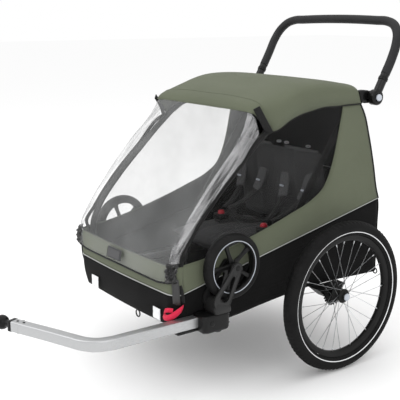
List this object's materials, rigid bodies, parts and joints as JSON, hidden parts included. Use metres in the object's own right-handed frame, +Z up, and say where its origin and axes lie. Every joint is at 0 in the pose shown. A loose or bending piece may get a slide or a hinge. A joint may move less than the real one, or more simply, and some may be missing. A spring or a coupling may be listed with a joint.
{
  "type": "child bicycle trailer",
  "caption": "Two-seat enclosed trailer for towing children behind a bicycle, with big side wheels, tow arm, push bar and stowed stroller wheels; its cabin folds flat.",
  "frame": {"origin": "on the ground, in the middle of the footprint of the whole trailer, tow arm included", "axes": "+Z up, -Y is the driving direction, +X is the trailer's left side, where the tow arm is"},
  "size_m": [0.807, 1.3528, 1.1381],
  "materials": {
    "green_fabric": "woven coated polyester, matt",
    "black_mesh": "fine window mesh",
    "roof_fabric": "woven coated polyester, matt",
    "black_fabric": "woven polyester, matt",
    "clear_vinyl": "clear flexible film",
    "black_tube": "satin black powder coat",
    "aluminium": "satin anodised",
    "black_plastic": "fine moulded texture",
    "grey_plastic": "satin",
    "reflector": "prismatic, clear",
    "rubber": "matt",
    "steel": "satin",
    "red_plastic": "satin"
  },
  "bodies": {
    "chassis": {"rail_left": "black_tube", "rail_right": "black_tube", "front_cross_tube": "black_tube", "rear_cross_tube": "black_tube", "axle_beam": "black_tube", "floor_pan": "black_fabric", "side_skirt_left": "black_fabric", "side_skirt_right": "black_fabric", "front_panel": "green_fabric", "rear_skirt": "black_fabric", "front_reflector_left": "reflector", "front_reflector_right": "reflector", "receiver_left": "black_plastic", "receiver_right": "black_plastic", "side_panel_left": "black_mesh", "side_panel_right": "black_mesh", "rear_panel": "black_mesh", "seat_base": "black_fabric", "seat_back": "black_fabric", "harness_left": "black_fabric", "harness_right": "black_fabric", "buckle_left": "black_plastic", "buckle_right": "black_plastic"},
    "cabin_frame": {"arch_left": "black_tube", "arch_right": "black_tube", "rear_bow": "black_tube", "visor_bow": "black_tube", "canopy": "roof_fabric", "front_cover": "clear_vinyl", "push_bar_bracket_left": "black_plastic", "push_bar_bracket_right": "black_plastic"},
    "push_bar": {"push_bar": "black_tube"},
    "lower_stays": {"lower_stay_left": "black_tube", "lower_stay_right": "black_tube"},
    "upper_stays": {"upper_stay_left": "black_tube", "upper_stay_right": "black_tube"},
    "tow_arm": {"tow_arm": "aluminium", "hitch_ball": "black_plastic"},
    "tow_arm_lock": {"tow_arm_lock": "black_plastic"},
    "brake_pedal": {"brake_pedal": "red_plastic"},
    "wheel_left": {"tyre_left": "rubber", "wheel_left": "black_plastic"},
    "wheel_button_left": {"wheel_release_button_left": "grey_plastic"},
    "push_bar_button_left": {"push_bar_button_left": "grey_plastic"},
    "caster_fork_left": {"caster_fork_left": "black_plastic"},
    "caster_wheel_left": {"caster_wheel_left": "black_plastic", "caster_tyre_left": "rubber"},
    "caster_button_left": {"caster_release_button_left": "black_plastic"},
    "brake_pin_left": {"brake_pin_left": "steel"},
    "buckle_button_left": {"buckle_button_left": "red_plastic"},
    "wheel_right": {"tyre_right": "rubber", "wheel_right": "black_plastic"},
    "wheel_button_right": {"wheel_release_button_right": "grey_plastic"},
    "push_bar_button_right": {"push_bar_button_right": "grey_plastic"},
    "caster_fork_right": {"caster_fork_right": "black_plastic"},
    "caster_wheel_right": {"caster_wheel_right": "black_plastic", "caster_tyre_right": "rubber"},
    "caster_button_right": {"caster_release_button_right": "black_plastic"},
    "brake_pin_right": {"brake_pin_right": "steel"},
    "buckle_button_right": {"buckle_button_right": "red_plastic"}
  },
  "joints": [
    {"name": "cabin_fold", "type": "hinge", "parent": "chassis", "child": "cabin_frame", "pos_m": [0, -0.20487, 0.337], "axis": [1, 0, 0], "range_deg": [-31, 0], "deforming": ["side_panel_left", "side_panel_right", "rear_panel", "seat_back", "harness_left", "harness_right", "front_cover"]},
    {"name": "lower_stay_fold", "type": "hinge", "parent": "chassis", "child": "lower_stays", "pos_m": [0, 0.55813, 0.287], "axis": [1, 0, 0], "range_deg": [0, 16.49]},
    {"name": "upper_stay_fold", "type": "hinge", "parent": "lower_stays", "child": "upper_stays", "pos_m": [0, 0.22146, 0.46323], "axis": [1, 0, 0], "range_deg": [-64.2, 0]},
    {"name": "push_bar_tilt", "type": "hinge", "parent": "cabin_frame", "child": "push_bar", "pos_m": [0, 0.53213, 0.876], "axis": [1, 0, 0], "range_deg": [-70, 85]},
    {"name": "tow_arm_slide", "type": "slide", "parent": "chassis", "child": "tow_arm", "axis": [0, -1, 0], "range_m": [0, 0.043]},
    {"name": "tow_arm_lock_pull", "type": "slide", "parent": "chassis", "child": "tow_arm_lock", "axis": [1, 0, 0], "range_m": [0, 0.008], "stiffness_N_per_m": 400},
    {"name": "brake_pedal_press", "type": "hinge", "parent": "chassis", "child": "brake_pedal", "pos_m": [0, 0.61013, 0.268], "axis": [-1, 0, 0], "range_deg": [0, 20]},
    {"name": "wheel_spin_left", "type": "hinge", "parent": "chassis", "child": "wheel_left", "pos_m": [0.38, 0.34313, 0.25], "axis": [1, 0, 0], "continuous": true},
    {"name": "wheel_button_press_left", "type": "slide", "parent": "chassis", "child": "wheel_button_left", "axis": [-1, 0, 0], "range_m": [0, 0.003], "stiffness_N_per_m": 500},
    {"name": "push_bar_button_press_left", "type": "slide", "parent": "push_bar", "child": "push_bar_button_left", "axis": [-1, 0, 0], "range_m": [0, 0.004], "stiffness_N_per_m": 500},
    {"name": "caster_lift_left", "type": "slide", "parent": "chassis", "child": "caster_fork_left", "axis": [0, 0, 1], "range_m": [0, 0.032]},
    {"name": "caster_spin_left", "type": "hinge", "parent": "caster_fork_left", "child": "caster_wheel_left", "pos_m": [0.32, -0.06887, 0.411], "axis": [1, 0, 0], "continuous": true},
    {"name": "caster_button_press_left", "type": "slide", "parent": "chassis", "child": "caster_button_left", "axis": [0, 0, 1], "range_m": [0, 0.004], "stiffness_N_per_m": 500},
    {"name": "brake_pin_slide_left", "type": "slide", "parent": "chassis", "child": "brake_pin_left", "axis": [1, 0, 0], "range_m": [0, 0.0058]},
    {"name": "buckle_button_press_left", "type": "slide", "parent": "chassis", "child": "buckle_button_left", "axis": [0, 0, -1], "range_m": [0, 0.0025], "stiffness_N_per_m": 400},
    {"name": "wheel_spin_right", "type": "hinge", "parent": "chassis", "child": "wheel_right", "pos_m": [-0.38, 0.34313, 0.25], "axis": [1, 0, 0], "continuous": true},
    {"name": "wheel_button_press_right", "type": "slide", "parent": "chassis", "child": "wheel_button_right", "axis": [1, 0, 0], "range_m": [0, 0.003], "stiffness_N_per_m": 500},
    {"name": "push_bar_button_press_right", "type": "slide", "parent": "push_bar", "child": "push_bar_button_right", "axis": [1, 0, 0], "range_m": [0, 0.004], "stiffness_N_per_m": 500},
    {"name": "caster_lift_right", "type": "slide", "parent": "chassis", "child": "caster_fork_right", "axis": [0, 0, 1], "range_m": [0, 0.032]},
    {"name": "caster_spin_right", "type": "hinge", "parent": "caster_fork_right", "child": "caster_wheel_right", "pos_m": [-0.32, -0.06887, 0.411], "axis": [1, 0, 0], "continuous": true},
    {"name": "caster_button_press_right", "type": "slide", "parent": "chassis", "child": "caster_button_right", "axis": [0, 0, 1], "range_m": [0, 0.004], "stiffness_N_per_m": 500},
    {"name": "brake_pin_slide_right", "type": "slide", "parent": "chassis", "child": "brake_pin_right", "axis": [-1, 0, 0], "range_m": [0, 0.0058]},
    {"name": "buckle_button_press_right", "type": "slide", "parent": "chassis", "child": "buckle_button_right", "axis": [0, 0, -1], "range_m": [0, 0.0025], "stiffness_N_per_m": 400}
  ],
  "couplings": [
    {"joint": "lower_stay_fold", "follows": "cabin_fold", "ratio": -0.53028},
    {"joint": "upper_stay_fold", "follows": "cabin_fold", "ratio": 2.0695},
    {"joint": "brake_pin_slide_left", "follows": "brake_pedal_press", "m_per_rad": 0.014295},
    {"joint": "brake_pin_slide_right", "follows": "brake_pedal_press", "m_per_rad": 0.014295}
  ]
}
